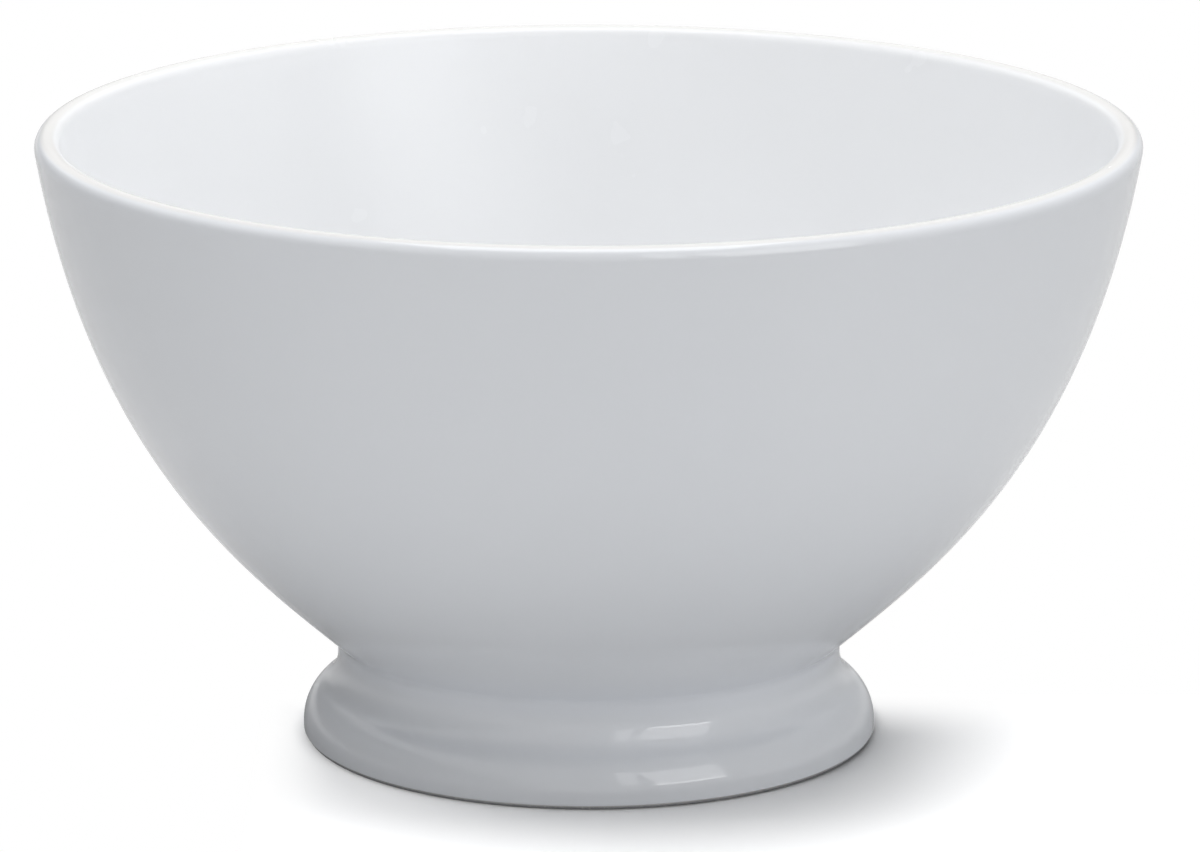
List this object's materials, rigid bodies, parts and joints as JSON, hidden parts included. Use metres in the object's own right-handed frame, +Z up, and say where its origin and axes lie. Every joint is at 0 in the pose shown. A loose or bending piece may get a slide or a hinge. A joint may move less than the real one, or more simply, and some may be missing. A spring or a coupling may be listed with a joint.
{
  "type": "latte bowl",
  "caption": "Glazed porcelain latte bowl on a hollow pedestal foot, with a deep flaring wall and a rounded lip, for holding a hot drink; stands on a bare flat ring.",
  "frame": {"origin": "on the axis of the bowl, at the level of the table that its foot ring stands on", "axes": "+Z up along the axis that the whole bowl is turned round; X and Y lie in the table, and the bowl looks the same from every side"},
  "size_m": [0.14, 0.14, 0.079],
  "materials": {
    "biscuit": "fired unglazed porcelain, matte and slightly rough",
    "slip": "fired porcelain slip, matte and wiped smooth",
    "glaze": "glossy plain white glaze"
  },
  "bodies": {
    "root": {"bowl": "biscuit", "foot": "biscuit", "slip_seam": "slip", "glaze": "glaze", "recess_glaze": "glaze"}
  },
  "joints": []
}
